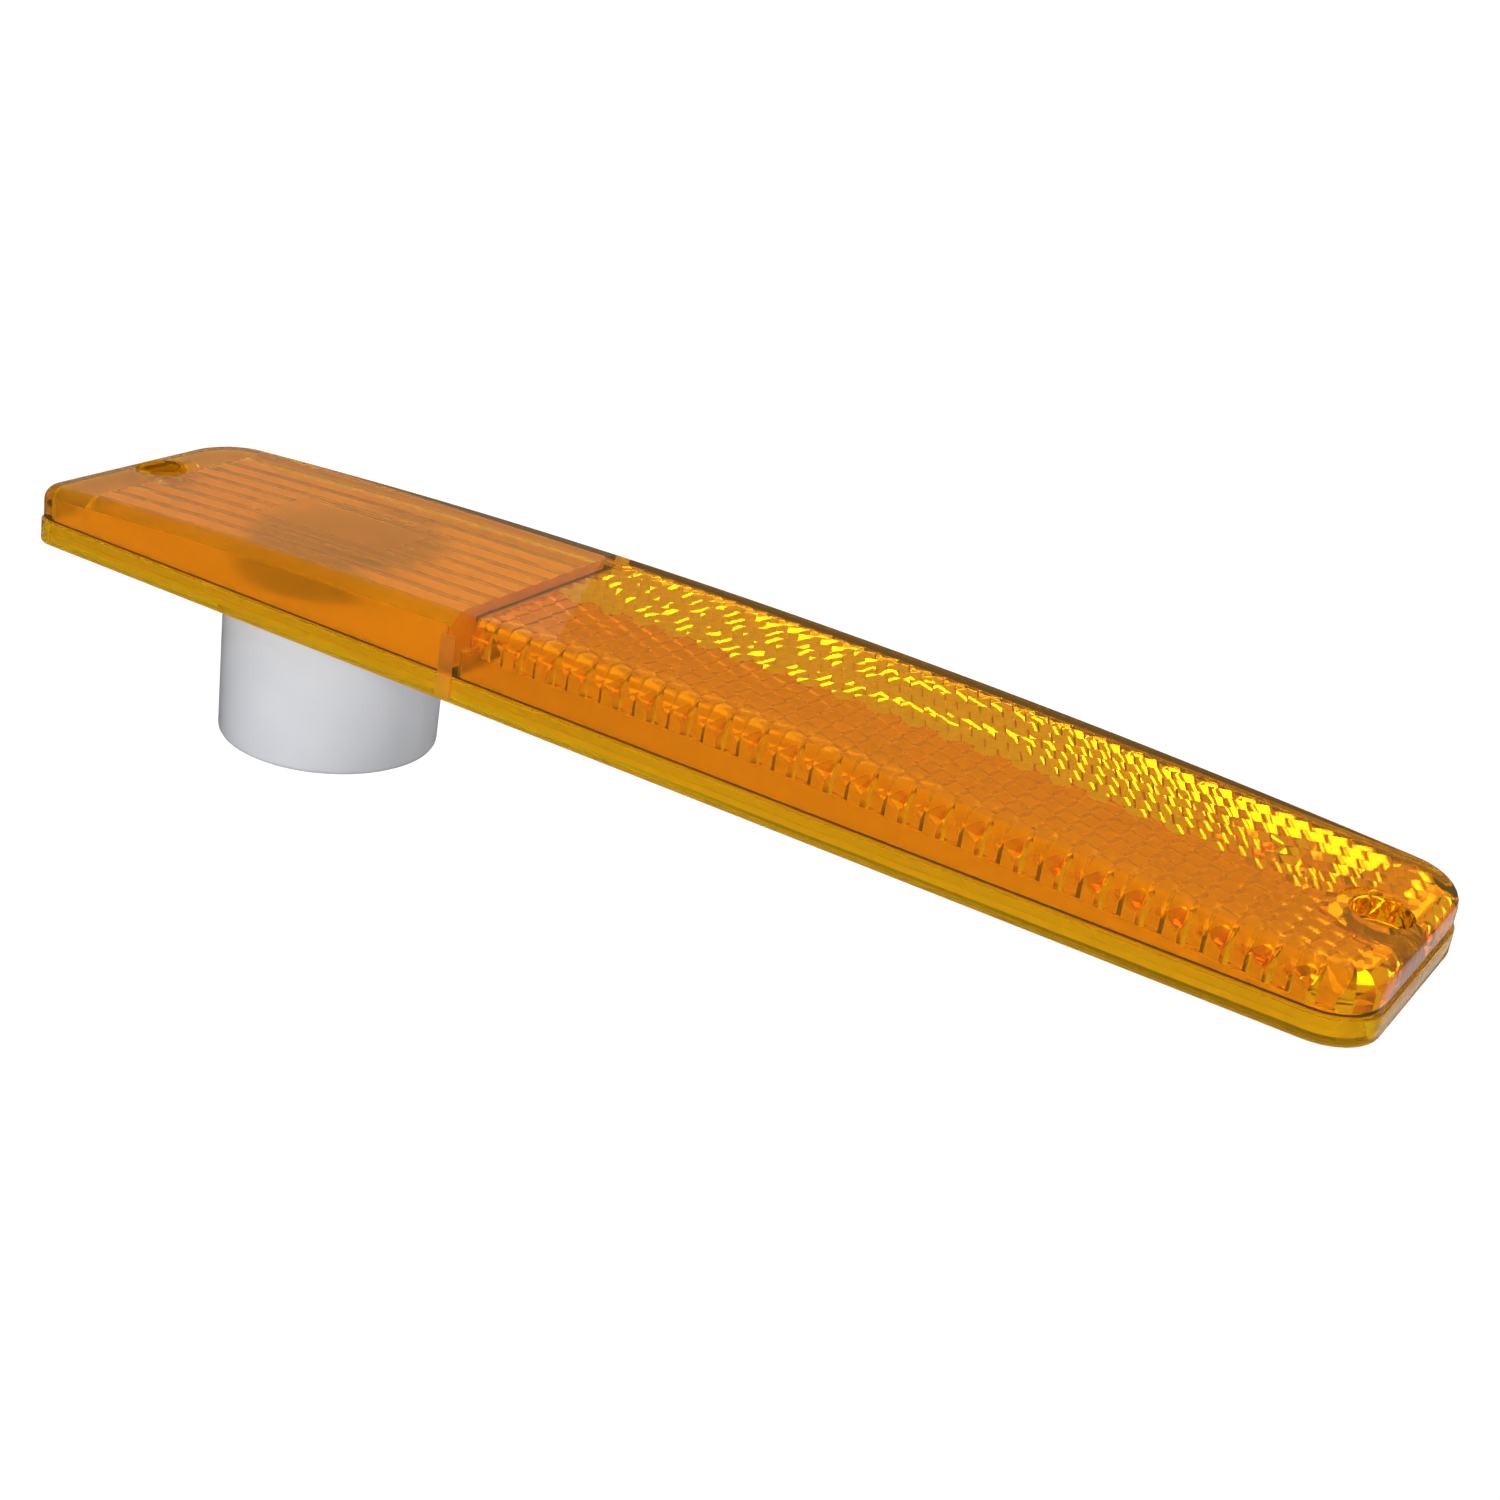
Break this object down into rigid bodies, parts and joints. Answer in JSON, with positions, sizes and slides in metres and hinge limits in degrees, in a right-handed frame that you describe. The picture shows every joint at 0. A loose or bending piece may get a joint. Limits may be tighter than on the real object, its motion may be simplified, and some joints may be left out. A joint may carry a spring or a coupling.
{
  "type": "vehicle side marker lamp",
  "caption": "Long amber side marker lamp: fluted bulb window at one end, reflex reflector along the rest, white back plate and bulb drum with a twist-lock socket.",
  "frame": {"origin": "midway between the two screw holes, on the plane of the lens's back rim, which is the plane of the bodywork", "axes": "+X along the lamp towards the reflex end, +Y across it, +Z out of the bodywork through the lens face"},
  "size_m": [0.241, 0.048, 0.0409],
  "materials": {
    "amber_lens": "transparent amber polycarbonate, polished",
    "white_plastic": "glossy moulded",
    "sealant": "white cured sealant, satin",
    "socket_plastic": "light grey moulded, fine grain",
    "seal_rubber": "matte",
    "contact_brass": "stamped strip",
    "bulb_glass": "clear",
    "tungsten_wire": "coiled wire",
    "lead_wire": "drawn wire"
  },
  "bodies": {
    "lamp": {"lens": "amber_lens", "housing": "white_plastic", "lens_seal": "sealant"},
    "socket": {"socket_body": "socket_plastic", "socket_seal": "seal_rubber", "contact_live": "contact_brass", "contact_earth": "contact_brass", "bulb_glass": "bulb_glass", "filament": "tungsten_wire", "lead_left": "lead_wire", "lead_right": "lead_wire"}
  },
  "joints": [
    {"name": "socket_turn", "type": "hinge", "parent": "lamp", "child": "socket", "pos_m": [-0.0715, 0, -0.0182], "axis": [0, 0, 1], "range_deg": [-45, 0]}
  ]
}
